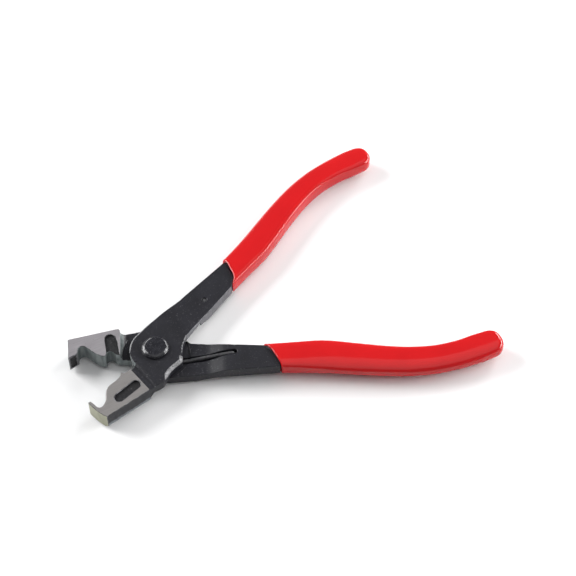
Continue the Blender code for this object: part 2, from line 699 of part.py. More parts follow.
def make_grip(name, pattern, material, parts, cutters):
    """A dipped sleeve: an oval sweep, hollow for the tang and open at its mouth."""
    grip = loft(name, grip_rings(pattern), parts)
    cavity_half = GRIP_HALF - GRIP_WALL
    hollow = tang_outline([x - 3.0 for x in pattern.mouth], pattern.widths, GRIP_WALL)
    cavity = prism(name + "_cavity", hollow, -cavity_half, cavity_half, cutters)
    boolean(grip, cavity, "DIFFERENCE")
    grip.data.materials.append(material)
    return grip


def main():
    clear_scene()
    parts = new_collection("hose_clamp_pliers")
    cutters = new_collection("cutters")
    front, rear = make_levers(parts, cutters)
    rivet = make_rivet(parts)
    spring = make_spring(parts)
    vinyl = principled("red_vinyl", VINYL_RED, 0.2, 0.0)
    front_grip = make_grip("grip_front", FRONT_PATTERN, vinyl, parts, cutters)
    rear_grip = make_grip("grip_rear", REAR_PATTERN, vinyl, parts, cutters)
    for grip in (front_grip, rear_grip):
        bake(grip)
    rear_grip.data.transform(Matrix.Rotation(math.pi, 4, "X"))

    # The tool stands on the rivet's rear head: every piece is lifted to that height about the pivot axis
    lift = Vector((0.0, 0.0, MID_HEIGHT * MM))
    pivot = bpy.data.objects.new("pivot_axis", None)
    parts.objects.link(pivot)
    pivot.location = lift
    for piece in (front, front_grip, rear, rear_grip, rivet, spring):
        piece.parent = pivot


main()
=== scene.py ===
"""The looks of a pair of hose clamp pliers: refined levers, rivet, spring and dipped grips, their finishes,
and a plain pale studio. Lengths are in millimetres, apart from the studio's. MM turns them into metres."""

import math
import random

import bmesh
import bpy
from mathutils import Matrix, Vector, noise
from mathutils.bvhtree import BVHTree


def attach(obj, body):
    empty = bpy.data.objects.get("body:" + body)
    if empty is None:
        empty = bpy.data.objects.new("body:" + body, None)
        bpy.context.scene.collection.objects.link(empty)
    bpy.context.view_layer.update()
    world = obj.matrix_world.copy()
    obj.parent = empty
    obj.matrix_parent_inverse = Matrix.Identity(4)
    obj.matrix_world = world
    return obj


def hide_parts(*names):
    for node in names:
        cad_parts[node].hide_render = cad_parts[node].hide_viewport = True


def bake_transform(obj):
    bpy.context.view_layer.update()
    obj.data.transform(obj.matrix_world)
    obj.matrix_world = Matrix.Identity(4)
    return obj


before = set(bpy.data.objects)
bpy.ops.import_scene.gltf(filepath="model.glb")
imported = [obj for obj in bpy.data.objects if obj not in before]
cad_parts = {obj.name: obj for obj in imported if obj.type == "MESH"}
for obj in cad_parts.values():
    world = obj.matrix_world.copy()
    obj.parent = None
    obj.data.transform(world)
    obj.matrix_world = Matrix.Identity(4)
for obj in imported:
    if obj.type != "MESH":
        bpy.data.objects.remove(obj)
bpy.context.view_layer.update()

MM = 0.001
# The tool's mid-plane. Turning it over about the x axis there swaps the two halves
MID_HEIGHT = 5.5
TURN_OVER = Matrix.Rotation(math.pi, 4, "X")
LIFT = Matrix.Translation((0.0, 0.0, MID_HEIGHT * MM))


# Materials -------------------------------------------------------------------------------------------------


class Finish:
    """A Principled material and short ways to add nodes to it."""

    def __init__(self, name):
        self.material = bpy.data.materials.new(name)
        self.material.use_nodes = True
        self.tree = self.material.node_tree
        self.shader = self.tree.nodes["Principled BSDF"]
        self.place = self.node("ShaderNodeTexCoord").outputs["Object"]

    def node(self, kind, **settings):
        made = self.tree.nodes.new(kind)
        for key, value in settings.items():
            setattr(made, key, value)
        return made

    def link(self, source, target):
        self.tree.links.new(source, target)

    def set(self, **values):
        for key, value in values.items():
            self.shader.inputs[key.replace("_", " ")].default_value = value

    def noise(self, size, detail=3.0, roughness=0.55, stretch=None, turn=0.0):
        """Noise whose grains are about size millimetres, stretched along some axes if asked."""
        made = self.node("ShaderNodeTexNoise")
        made.inputs["Scale"].default_value = 1.0 / (size * MM)
        made.inputs["Detail"].default_value = detail
        made.inputs["Roughness"].default_value = roughness
        source = self.place
        if stretch:
            mapping = self.node("ShaderNodeMapping")
            mapping.inputs["Rotation"].default_value = (0.0, 0.0, math.radians(turn))
            mapping.inputs["Scale"].default_value = stretch
            self.link(source, mapping.inputs["Vector"])
            source = mapping.outputs["Vector"]
        self.link(source, made.inputs["Vector"])
        return made.outputs["Fac"]

    def ramp(self, source, stops):
        made = self.node("ShaderNodeValToRGB")
        elements = made.color_ramp.elements
        while len(elements) < len(stops):
            elements.new(0.5)
        for element, (position, colour) in zip(elements, stops):
            element.position = position
            element.color = (*colour, 1.0)
        self.link(source, made.inputs["Fac"])
        return made.outputs["Color"]

    def range(self, source, low, high, start=0.3, end=0.7):
        made = self.node("ShaderNodeMapRange")
        made.inputs["From Min"].default_value = start
        made.inputs["From Max"].default_value = end
        made.inputs["To Min"].default_value = low
        made.inputs["To Max"].default_value = high
        self.link(source, made.inputs["Value"])
        return made.outputs["Result"]

    def mix(self, factor, first, second):
        made = self.node("ShaderNodeMix", data_type="RGBA")
        self.link(factor, made.inputs["Factor"])
        for value, socket in ((first, made.inputs[6]), (second, made.inputs[7])):
            if isinstance(value, tuple):
                socket.default_value = (*value, 1.0)
            else:
                self.link(value, socket)
        return made.outputs[2]

    def bump(self, source, distance, strength=1.0, under=None):
        made = self.node("ShaderNodeBump")
        made.inputs["Distance"].default_value = distance * MM
        made.inputs["Strength"].default_value = strength
        self.link(source, made.inputs["Height"])
        if under is not None:
            self.link(under, made.inputs["Normal"])
        return made.outputs["Normal"]

    def colour(self, source):
        self.link(source, self.shader.inputs["Base Color"])

    def roughness(self, source):
        self.link(source, self.shader.inputs["Roughness"])

    def normal(self, source):
        self.link(source, self.shader.inputs["Normal"])


def black_oxide():
    """The forgings' finish: near black and finely grained, with pale specks where the grain shows."""
    finish = Finish("black_oxide")
    finish.set(Metallic=0.0, Specular_IOR_Level=0.4)
    cloud = finish.noise(9.0, 4.0)
    base = finish.ramp(cloud, [(0.3, (0.008, 0.008, 0.011)), (0.7, (0.014, 0.014, 0.019))])
    speck = finish.noise(0.5, 2.0, 0.7)
    specks = finish.range(speck, 0.0, 1.0, 0.65, 0.71)
    finish.colour(finish.mix(specks, base, (0.16, 0.16, 0.17)))
    grain = finish.noise(0.9, 5.0, 0.65)
    finish.roughness(finish.range(grain, 0.34, 0.52))
    scale = finish.noise(0.28, 3.0, 0.6)
    finish.normal(finish.bump(scale, 0.025, 0.5, finish.bump(grain, 0.07, 0.5)))
    return finish.material


def worn_edge():
    """Black oxide worn off in places along an edge."""
    finish = Finish("worn_edge")
    finish.set(Metallic=0.1, Specular_IOR_Level=0.5)
    patch = finish.noise(1.3, 5.0, 0.75)
    pale_steel = finish.range(patch, 0.0, 1.0, 0.46, 0.58)
    finish.colour(finish.mix(pale_steel, (0.014, 0.014, 0.018), (0.22, 0.22, 0.23)))
    finish.roughness(finish.range(patch, 0.5, 0.3, 0.4, 0.65))
    finish.normal(finish.bump(finish.noise(0.3, 3.0), 0.03, 0.5))
    return finish.material


def jaw_flank():
    """The lower jaw's outer side: oxide that fades to bare blue-grey steel towards its bottom edge."""
    finish = Finish("jaw_flank")
    finish.set(Metallic=0.0, Specular_IOR_Level=0.45)
    split = finish.node("ShaderNodeSeparateXYZ")
    finish.link(finish.place, split.inputs["Vector"])
    cloud = finish.noise(1.6, 4.0, 0.65)
    ragged = finish.node("ShaderNodeMath", operation="MULTIPLY_ADD")
    finish.link(cloud, ragged.inputs[0])
    ragged.inputs[1].default_value = 2.4 * MM
    finish.link(split.outputs["Z"], ragged.inputs[2])
    bare = finish.range(ragged.outputs["Value"], 1.0, 0.0, 4.6 * MM, 5.8 * MM)
    finish.colour(finish.mix(bare, (0.014, 0.014, 0.018), (0.19, 0.21, 0.225)))
    finish.roughness(finish.range(cloud, 0.38, 0.55))
    finish.normal(finish.bump(finish.noise(0.35, 3.0), 0.03, 0.5))
    return finish.material


def rubbed_steel_and_painted_highlight():
    """Pale, coarse-grained steel: where the oxide is gone on the heel's chamfer, and a painted highlight on
    the boss's far edge, the neck's step edges and the rivet's rim.
    """
    finish = Finish("rubbed_steel_and_painted_highlight")
    finish.set(Metallic=0.0, Specular_IOR_Level=0.5)
    grain = finish.noise(0.5, 4.0, 0.75)
    finish.colour(finish.ramp(grain, [(0.34, (0.03, 0.03, 0.033)), (0.47, (0.17, 0.17, 0.175)),
                                      (0.64, (0.42, 0.42, 0.43))]))
    finish.roughness(finish.range(grain, 0.55, 0.35))
    finish.normal(finish.bump(grain, 0.08, 0.7))
    return finish.material


def flash_and_painted_reflection():
    """The sheared flash along a forging's side: streaked grey steel far lighter than the oxide, partly a
    painted reflection of the pale surroundings on the handles' inner sides.
    """
    finish = Finish("flash_and_painted_reflection")
    finish.set(Metallic=0.35, Specular_IOR_Level=0.6)
    streak = finish.noise(0.8, 4.0, 0.6, (1.0, 1.0, 0.25))
    finish.colour(finish.ramp(streak, [(0.3, (0.08, 0.08, 0.09)), (0.7, (0.2, 0.2, 0.215))]))
    finish.roughness(finish.range(streak, 0.3, 0.5))
    finish.normal(finish.bump(finish.noise(0.35, 3.0), 0.04, 0.5))
    return finish.material


def ground_steel(name, tint, angle):
    """Surface-ground steel: bright, with fine parallel scratches."""
    finish = Finish(name)
    finish.set(Metallic=0.4, Specular_IOR_Level=0.4)
    dark = tuple(0.82 * c for c in tint)
    scratch = finish.noise(0.45, 4.0, 0.7, (0.06, 1.0, 1.0), angle)
    cloud = finish.noise(3.0, 3.0)
    shade = finish.ramp(scratch, [(0.3, dark), (0.7, tint)])
    pits = finish.range(finish.noise(0.6, 2.0, 0.6), 0.0, 0.75, 0.70, 0.76)
    finish.colour(finish.mix(pits, shade, (0.05, 0.05, 0.055)))
    finish.roughness(finish.range(cloud, 0.42, 0.6))
    finish.normal(finish.bump(scratch, 0.01, 0.5))
    return finish.material


def machined_wall():
    """The form-cut walls of the notches, blue-grey and cloudier than the ground faces."""
    finish = Finish("machined_wall")
    finish.set(Metallic=0.3, Specular_IOR_Level=0.5)
    band = finish.noise(1.4, 3.0, 0.5, (1.0, 1.0, 0.15))
    finish.colour(finish.ramp(band, [(0.3, (0.13, 0.15, 0.155)), (0.7, (0.25, 0.28, 0.275))]))
    finish.roughness(finish.range(band, 0.36, 0.5))
    finish.normal(finish.bump(finish.noise(0.3, 3.0), 0.015, 0.5))
    return finish.material


def tempered_end():
    """The lower jaw's end face, faintly yellow as tempered steel is."""
    finish = Finish("tempered_end")
    finish.set(Metallic=0.55, Specular_IOR_Level=0.5)
    band = finish.noise(2.6, 3.0, 0.5, (1.0, 1.0, 0.3))
    finish.colour(finish.ramp(band, [(0.3, (0.27, 0.27, 0.19)), (0.7, (0.40, 0.40, 0.30))]))
    finish.roughness(finish.range(band, 0.35, 0.5))
    finish.normal(finish.bump(finish.noise(0.3, 3.0), 0.012, 0.5))
    return finish.material


def scaled_pocket():
    """The as-forged floor of a pocket, black and rough."""
    finish = Finish("scaled_pocket")
    finish.set(Metallic=0.0, Specular_IOR_Level=0.4)
    lump = finish.noise(0.75, 4.0, 0.6)
    finish.colour(finish.ramp(lump, [(0.35, (0.003, 0.003, 0.004)), (0.62, (0.012, 0.012, 0.014)),
                                     (0.74, (0.10, 0.10, 0.105))]))
    finish.roughness(finish.range(lump, 0.55, 0.35))
    finish.normal(finish.bump(lump, 0.22, 0.9))
    return finish.material


def bright_wire():
    """The spring's drawn wire, smoother than the forgings and nearly as dark."""
    finish = Finish("bright_wire")
    finish.set(Metallic=0.3, Specular_IOR_Level=0.5)
    cloud = finish.noise(1.2, 4.0)
    finish.colour(finish.ramp(cloud, [(0.35, (0.04, 0.04, 0.044)), (0.7, (0.10, 0.10, 0.105))]))
    finish.roughness(finish.range(cloud, 0.28, 0.42))
    finish.normal(finish.bump(finish.noise(0.4, 3.0), 0.02, 0.5))
    return finish.material


def peened_steel():
    """The rivet: black oxide polished smoother by the hammer."""
    finish = Finish("peened_steel")
    finish.set(Metallic=0.0, Specular_IOR_Level=0.55)
    cloud = finish.noise(2.2, 4.0)
    base = finish.ramp(cloud, [(0.3, (0.009, 0.009, 0.012)), (0.7, (0.018, 0.018, 0.023))])
    specks = finish.range(finish.noise(0.45, 2.0, 0.7), 0.0, 1.0, 0.66, 0.72)
    finish.colour(finish.mix(specks, base, (0.2, 0.2, 0.21)))
    finish.roughness(finish.range(cloud, 0.2, 0.32))
    finish.normal(finish.bump(finish.noise(0.7, 4.0, 0.6), 0.03, 0.5))
    return finish.material


def dipped_vinyl():
    """Glossy red vinyl with the slow waves that dipping leaves."""
    finish = Finish("dipped_vinyl")
    finish.set(Metallic=0.0, Specular_IOR_Level=0.46)
    cloud = finish.noise(14.0, 3.0)
    finish.colour(finish.ramp(cloud, [(0.3, (0.51, 0.008, 0.010)), (0.7, (0.56, 0.009, 0.011))]))
    wave = finish.noise(5.0, 2.0, 0.4)
    fine = finish.noise(0.6, 3.0, 0.5)
    finish.roughness(finish.range(fine, 0.10, 0.17))
    finish.normal(finish.bump(fine, 0.006, 0.4, finish.bump(wave, 0.12, 0.35)))
    return finish.material


FINISHES = {
    "oxide": black_oxide(),
    "worn": worn_edge(),
    "flank": jaw_flank(),
    "pale_steel": rubbed_steel_and_painted_highlight(),
    "flash_and_reflection": flash_and_painted_reflection(),
    "ground_upper": ground_steel("ground_upper", (0.30, 0.285, 0.30), 12.0),
    "ground_lower": ground_steel("ground_lower", (0.25, 0.238, 0.232), 20.0),
    "wall": machined_wall(),
    "olive": tempered_end(),
    "scaled": scaled_pocket(),
    "wire": bright_wire(),
    "peened": peened_steel(),
    "vinyl": dipped_vinyl(),
}


def mesh_from(shape, name, crease_degrees=None):
    """Turns a working shape into a smooth mesh, with edges sharper than the angle kept as creases."""
    mesh = bpy.data.meshes.new(name)
    shape.to_mesh(mesh)
    shape.free()
    mesh.shade_smooth()
    if crease_degrees:
        mesh.set_sharp_from_angle(angle=math.radians(crease_degrees))
    return mesh


def place_piece(mesh, name, slots):
    """Makes an object of a mesh, with its finishes."""
    for finish in slots:
        mesh.materials.append(FINISHES[finish])
    piece = bpy.data.objects.new(name, mesh)
    bpy.context.scene.collection.objects.link(piece)
    return piece


# Levers ----------------------------------------------------------------------------------------------------

LEVER_SLOTS = ["oxide", "worn", "pale_steel", "flash_and_reflection", "ground_upper", "ground_lower", "wall", "olive",
               "scaled", "flank"]

# Heights of the jaws' faces and of their pockets' floors
JAW_TOP = 9.5
JAW_BACK = 1.5
POCKET_FLOOR = 8.7
POCKET_WALL = 0.3
NEAR = 0.1

# Where finishes change, in x: the jaws' roots, the lower jaw's ground face, the form-cut walls, the hooks
JAW_ROOT = -9.0
LOWER_GROUND_START = -10.9
WALL_START = -10.0
HOOK_START = -29.0
HOOK_BEYOND = 12.0
FLANK_BEYOND = 15.0
# How nearly a face's normal lies along an axis before it counts as facing that way
FACES_UP = 0.9
FACES_ALONG = 0.6
FACES_SIDEWAYS = 0.5
STANDS_UPRIGHT = 0.3
# The front lever's handle runs this way, as (x, y), and its lighter flash sides (partly a painted reflection)
# and bright edges start this far along
HANDLE_RUN = (0.927, 0.375)
PALE_SIDE_START = 13.0
BRIGHT_START = 15.5
BRIGHT_ACROSS = 3.0
BRIGHT_ABOVE = 7.0

# Widths of the rounded and chamfered edges
GROUND_EDGE = 0.16
STEP_EDGE = 0.16
BRIGHT_EDGE = 0.15
FORGED_EDGE = 0.32
NECK_EDGE = 0.4
RIM_EDGE = 0.45
BOSS_EDGE = 0.6
HEEL_CHAMFER = 1.3

# Zones that hold both ends of an edge, as (low, high) in x, y and z
FAR = 200.0
ANY = (-FAR, FAR)
NECK_ZONE = ((-3.0, 14.0), (-FAR, 0.8), (8.9, FAR))
HEEL_ZONE = ((-3.0, 14.0), (-FAR, -8.0), (8.9, FAR))
HOOK_RIM_ZONE = ((-33.0, -17.3), (-16.6, FAR), (JAW_TOP - NEAR, FAR))
BOSS_ARC_ZONE = ((-FAR, -1.0), (2.5, FAR), (JAW_TOP - NEAR, FAR))
NECK_STEP_ZONE = ((-14.5, -4.5), (-20.0, -2.0), (9.0, FAR))
GROUND_ZONE = ((-FAR, -9.4), ANY, ANY)
BOSS_RADII = (10.2, 10.8)
BOSS_RADIUS = 11.0
WORN_BOSS_X = 1.0
WORN_BOSS_ABOVE = 9.0
WORN_NECK_X = -6.0
WORN_NECK_Y = -1.0
RECESS_RADIUS = 12.5
RECESS_TOP = 6.0
LAP_STEP_RADIUS = 13.7
LAP_STEP_REACH = 0.4
NECK_STEP_LENGTH = 6.0
NECK_STEP_RUNS = 0.85
SHORT_EDGE = 0.25
# The upper jaw's small steps beside the joint lie past these
STEPS_X = -15.5
STEPS_Y = 11.5

# The lower jaw's pocket: the ends of its middle line and a reach that takes in its rim
POCKET_START = Vector((-22.2, -15.5))
POCKET_END = Vector((-14.05, -12.7))
POCKET_REACH = 2.1

# The upper hook's end face: the bare rim's width, the slope inside it and the depth
HOOK_END_FACES = 0.8
HOOK_END_X = -29.5
HOOK_END_Y = 12.5
HOOK_INSET = 0.75
HOOK_SLOPE = 0.12
HOOK_SINK = 0.35

# Edges sharper than SHARP_DEGREES are bevelled, and those sharper than CREASE_DEGREES stay sharp in shading
SHARP_DEGREES = 26.0
CREASE_DEGREES = 38.0
SMOOTH_DEGREES = 8.0
FLAT_WEIGHT = 90
# A crease at an edge's end needs this many bevel widths of room, unless it carries the edge on
ROOM = 1.3
CONTINUES = 0.7
# A bevelled corner may stand this far off the old surface
STRAY = 0.01


def merged(source):
    """A working copy of a CAD node's mesh with whole flat faces, ready to have its edges rounded."""
    shape = bmesh.new()
    shape.from_mesh(source.data)
    bmesh.ops.remove_doubles(shape, verts=shape.verts, dist=2e-6)
    bmesh.ops.dissolve_degenerate(shape, edges=shape.edges, dist=2e-5)
    bmesh.ops.dissolve_limit(shape, angle_limit=math.radians(1.0), verts=shape.verts, edges=shape.edges)
    shape.normal_update()
    return shape


def source_reach(node):
    """The lowest x of a CAD node."""
    return min(v.co.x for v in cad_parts[node].data.vertices)


def turn_of(edge):
    """How far the surface turns at an edge, in degrees: positive where it stands out, negative in corners."""
    return math.degrees(edge.calc_face_angle_signed(0.0))


def in_handle(x, y):
    """A point or direction as (along the front lever's handle, across it)."""
    run_x, run_y = HANDLE_RUN
    return x * run_x + y * run_y, y * run_x - x * run_y


def middle_of(edge):
    """An edge's middle, in millimetres."""
    return (edge.verts[0].co + edge.verts[1].co) / 2 / MM


def inside(edge, zone):
    """Whether both ends of an edge lie in a zone."""
    return all(low < c / MM < high for v in edge.verts for c, (low, high) in zip(v.co, zone))


def lever_face(face, front):
    """The finish of one face of a lever, from where it is and how it faces."""
    normal = face.normal
    x, y, z = face.calc_center_median() / MM
    toward = y if front else -y
    if x < JAW_ROOT:
        ground = "ground_lower" if front else "ground_upper"
        if abs(normal.z) > FACES_UP:
            if abs(z - POCKET_FLOOR) < POCKET_WALL / 2:
                return "scaled"
            on_top = z > JAW_TOP - NEAR and x < (LOWER_GROUND_START if front else JAW_ROOT)
            return ground if on_top or z < JAW_BACK + NEAR else "oxide"
        if min(v.co.z for v in face.verts) / MM > POCKET_FLOOR - POCKET_WALL:
            return "scaled"
        if front and normal.x < -FACES_ALONG and x < HOOK_START and toward < -HOOK_BEYOND:
            return "olive"
        if front and normal.y < -FACES_SIDEWAYS and toward < -FLANK_BEYOND:
            return "flank"
        if x < WALL_START:
            return "wall"
    along, _ = in_handle(x, toward)
    _, side = in_handle(normal.x, normal.y if front else -normal.y)
    # The handles' inner sides take the lighter flash finish, partly a painted reflection of the pale
    # surroundings.
    if abs(normal.z) < STANDS_UPRIGHT and side < -FACES_ALONG and along > PALE_SIDE_START:
        return "flash_and_reflection"
    return "oxide"


def in_pocket(place):
    """Whether a point of the lower jaw lies on its pocket's rim or inside it."""
    run = POCKET_END - POCKET_START
    share = min(max((place.xy - POCKET_START).dot(run) / run.length_squared, 0.0), 1.0)
    beside = (place.xy - POCKET_START - run * share).length
    return place.z > POCKET_FLOOR - NEAR and beside < POCKET_REACH


def on_ground_jaw(edge):
    return inside(edge, GROUND_ZONE)


def on_plain_jaw_edge(edge, front):
    """The jaw's edges, leaving out the pockets' rims and the small steps beside the joint."""
    if not on_ground_jaw(edge):
        return False
    middle = middle_of(edge)
    if front:
        return not in_pocket(middle) and edge.calc_length() > SHORT_EDGE * MM
    beside_joint = middle.x > STEPS_X and middle.y > STEPS_Y and middle.z < JAW_TOP - NEAR
    return not beside_joint and abs(middle.z - POCKET_FLOOR) > NEAR


def on_heel(edge):
    """The front lever's top edge round the heel, broken by a wide rough chamfer."""
    return on_neck_edge(edge) and inside(edge, HEEL_ZONE)


def on_neck_edge(edge):
    """The front lever's top edge from the heel up to the neck."""
    return inside(edge, NECK_ZONE) and all(v.co.xy.length / MM > BOSS_RADII[1] for v in edge.verts)


def on_hook_rim(edge):
    """The lower jaw's top edge along its curved mouth."""
    return inside(edge, HOOK_RIM_ZONE) and not any(in_pocket(v.co / MM) for v in edge.verts)


def on_boss_highlight_arc(edge):
    """The front lever's top edge round the joint on its far side: a bevel in the pale grained finish, a
    painted highlight line.
    """
    low, high = BOSS_RADII
    return inside(edge, BOSS_ARC_ZONE) and all(low < v.co.xy.length / MM < high for v in edge.verts)


def on_neck_step(edge):
    """The edges of the two small steps between the lower jaw's ground face and the joint, bevelled in the
    pale grained finish as painted highlight lines.
    """
    long_enough = edge.calc_length() > NECK_STEP_LENGTH * MM
    return inside(edge, NECK_STEP_ZONE) and long_enough and abs(direction(edge).y) > NECK_STEP_RUNS


def sink_hook_end(shape):
    """The upper jaw's hook ends in a black face let in behind a bare rim."""
    ends = [f for f in shape.faces if f.normal.y < -HOOK_END_FACES
            and f.calc_center_median().x / MM < HOOK_END_X and f.calc_center_median().y / MM < HOOK_END_Y]
    if not ends:
        return
    for face in ends:
        face.material_index = LEVER_SLOTS.index("flash_and_reflection")
    bmesh.ops.inset_region(shape, faces=ends, thickness=HOOK_INSET * MM, depth=0.0, use_even_offset=True)
    made = bmesh.ops.inset_region(shape, faces=ends, thickness=HOOK_SLOPE * MM, depth=-HOOK_SINK * MM)
    for face in ends + made["faces"]:
        face.material_index = LEVER_SLOTS.index("scaled")
    shape.normal_update()


def on_worn_edge(edge, front):
    """The edges that hands and the other lever rub: round the boss, the lap's step and the neck's steps."""
    middle = middle_of(edge)
    radius = middle.xy.length
    if front:
        by_neck = middle.x < WORN_NECK_X and middle.y < WORN_NECK_Y
        round_boss = radius < BOSS_RADIUS and middle.x < WORN_BOSS_X and middle.z > WORN_BOSS_ABOVE
        return by_neck or round_boss
    in_recess = radius < RECESS_RADIUS and middle.z < RECESS_TOP
    return in_recess or abs(radius - LAP_STEP_RADIUS) < LAP_STEP_REACH


def on_bright_edge(edge, front):
    """The front lever's inner top edge, a thin bright line above its flash side: a bevel in that side's
    lighter finish, a painted highlight.
    """
    middle = middle_of(edge)
    along, across = in_handle(middle.x, middle.y)
    return front and along > BRIGHT_START and across < BRIGHT_ACROSS and middle.z > BRIGHT_ABOVE


def direction(edge):
    """A unit vector along an edge."""
    return (edge.verts[1].co - edge.verts[0].co).normalized()


def has_room(edge, width):
    """Whether no short crease branches off the edge's ends, which would throw a bevel's corner out."""
    for vertex in edge.verts:
        for other in vertex.link_edges:
            branches = abs(direction(other).dot(direction(edge))) < CONTINUES
            if branches and other.calc_length() < ROOM * width * MM and abs(turn_of(other)) > SMOOTH_DEGREES:
                return False
    return True


def put_in_order(shape):
    """Sorts edges and faces by their corners, since a bevel leaves them in an order that varies by run."""
    shape.verts.index_update()
    count = len(shape.verts)

    def rank(element):
        first, second, third = (sorted(v.index for v in element.verts) + [0])[:3]
        return (first * count + second) * count + third

    for sequence in (shape.edges, shape.faces):
        sequence.sort(key=rank)
        sequence.index_update()


def bevel_some(shape, wanted, width, segments, slot):
    """Bevels the chosen sharp edges, and lays any corner that this throws out back on the old surface."""
    rounded = shape.faces.layers.int.get("rounded") or shape.faces.layers.int.new("rounded")
    edges = [e for e in shape.edges if turn_of(e) > SHARP_DEGREES and wanted(e) and has_room(e, width)
             and not any(face[rounded] for face in e.link_faces)]
    if not edges:
        return
    before = BVHTree.FromBMesh(shape)
    made = bmesh.ops.bevel(shape, geom=edges, offset=width * MM, segments=segments, profile=0.5,
                           affect="EDGES", clamp_overlap=False, material=LEVER_SLOTS.index(slot))
    for face in made["faces"]:
        face[rounded] = 1
    put_in_order(shape)
    for vertex in shape.verts:
        place, normal, _, distance = before.find_nearest(vertex.co)
        if distance > STRAY * MM and (vertex.co - place).dot(normal) > 0:
            vertex.co = place
    shape.normal_update()


def finish_lever(shape, name, body, node):
    """Places a lever's finished shape, lets it ride on its body and hides the CAD node."""
    # A bevel may push a sharp corner out, so the jaws' tips are held to the CAD's own reach
    reach = source_reach(node)
    for vertex in shape.verts:
        vertex.co.x = max(vertex.co.x, reach)
    piece = place_piece(mesh_from(shape, name, CREASE_DEGREES), name, LEVER_SLOTS)
    even = piece.modifiers.new("even_faces", "WEIGHTED_NORMAL")
    even.keep_sharp = True
    even.weight = FLAT_WEIGHT
    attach(piece, body)
    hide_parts(node)
    return piece


def make_lever(node, name, body, front):
    """A lever made from its CAD node: finishes by face, then its edges rounded, the special ones first."""
    shape = merged(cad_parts[node])
    for face in shape.faces:
        face.material_index = LEVER_SLOTS.index(lever_face(face, front))
    if front:
        bevel_some(shape, on_heel, HEEL_CHAMFER, 4, "pale_steel")
        bevel_some(shape, on_neck_edge, NECK_EDGE, 2, "worn")
        bevel_some(shape, on_hook_rim, RIM_EDGE, 4, "ground_lower")
        # The boss's far edge and the neck's step edges get bevels in the pale grained finish as painted
        # highlight lines.
        bevel_some(shape, on_boss_highlight_arc, BOSS_EDGE, 4, "pale_steel")
        bevel_some(shape, on_neck_step, STEP_EDGE, 2, "pale_steel")
    else:
        sink_hook_end(shape)
    bevel_some(shape, lambda edge: on_plain_jaw_edge(edge, front), GROUND_EDGE, 2, "worn")
    bevel_some(shape, lambda edge: on_bright_edge(edge, front), BRIGHT_EDGE, 2, "flash_and_reflection")
    bevel_some(shape, lambda edge: on_worn_edge(edge, front), FORGED_EDGE, 2, "worn")
    bevel_some(shape, lambda edge: not on_ground_jaw(edge), FORGED_EDGE, 2, "oxide")
    return finish_lever(shape, name, body, node)


make_lever("lever_front", "forged_lever_front", "front_half", True)
make_lever("lever_rear", "forged_lever_rear", "rear_half", False)

# Grips -----------------------------------------------------------------------------------------------------

HANDLE_CENTRE = [(42.0, 23.0), (50.0, 26.9), (60.0, 31.9), (70.0, 38.1), (80.0, 44.4), (90.0, 50.0),
                 (100.0, 54.0), (110.0, 56.2), (118.0, 56.9), (123.2, 57.1)]
# Half widths along that line, towards the palm side and then towards the inner side
FRONT_WIDTHS = ([5.7, 6.0, 6.7, 6.7, 6.35, 6.0, 5.8, 5.9, 6.2, 6.0],
                [6.1, 6.0, 6.2, 5.85, 5.5, 5.3, 5.2, 5.3, 5.7, 5.6])
REAR_WIDTHS = ([6.6, 6.9, 7.4, 7.2, 6.7, 6.4, 6.1, 6.0, 6.1, 5.9],
               [5.7, 6.4, 7.2, 7.0, 6.7, 6.3, 5.9, 5.8, 5.9, 5.6])
# How far the skin stays inside the CAD grip's widest lines
PLAY = 0.02
# Each mouth's x at the handle's outer edge, middle and inner edge
FRONT_MOUTH = (44.4, 45.2, 42.4)
REAR_MOUTH = (42.3, 42.4, 40.9)
GRIP_HALF = 3.53
GRIP_COLUMNS = 72
SPLINE_STEPS = 12
# The tip: its rings, the angle they close at, and how far in from the end it thins and by how much
TIP_STEPS = 14
TIP_CLOSE = 83.0
TIP_ROUNDING = 2.6
TIP_THINNING = 0.86
TIP_CURVE = 2.2
MOUTH_STATIONS = 13
WALL = 1.1
# The lip: its roll, how far that laps the mouth, and the bead behind it, ring by ring
LIP_RADIUS = 0.4
LIP_OVERLAP = 0.2
LIP_BULGE = 0.1
LIP_SWELL = (1.0, 0.6, 0.2)
LIP_DEGREES = (90.0, 66.0, 44.0, 22.0)


def spline(points, steps):
    """Points on a smooth curve through the given ones, both ends included."""
    knots = [Vector(p) for p in points]
    knots = [2 * knots[0] - knots[1]] + knots + [2 * knots[-1] - knots[-2]]
    curve = []
    for i in range(1, len(knots) - 2):
        before, start, end, after = knots[i - 1 : i + 3]
        for step in range(steps):
            t = step / steps
            curve.append(0.5 * (2 * start + (end - before) * t
                                + (2 * before - 5 * start + 4 * end - after) * t ** 2
                                + (3 * start - before - 3 * end + after) * t ** 3))
    curve.append(knots[-2])
    return curve


def smooth_step(value):
    """Rises smoothly from 0 to 1 as the value does."""
    value = min(max(value, 0.0), 1.0)
    return value * value * (3 - 2 * value)


def mouth_x(mouth, share):
    """Where a mouth runs, from the handle's outer edge (share 0) to its inner edge (share 1)."""
    outer, middle, inner = mouth
    return (outer * (1 - share) * (1 - 2 * share) + middle * 4 * share * (1 - share)
            + inner * share * (2 * share - 1))


def section_power(share, towards_outside, soft):
    """How square the section is: the palm side nearly oval, the inner side flat with a crisp top edge."""
    if towards_outside:
        return 4.0 - 1.6 * smooth_step(share / 0.3) + 0.5 * smooth_step((share - 0.8) / 0.2)
    crisp = 6.0 - 1.6 * smooth_step((share - 0.75) / 0.25)
    eased = 3.4 + 1.6 * smooth_step((share - 0.45) / 0.25)
    return eased if soft and eased < crisp else crisp


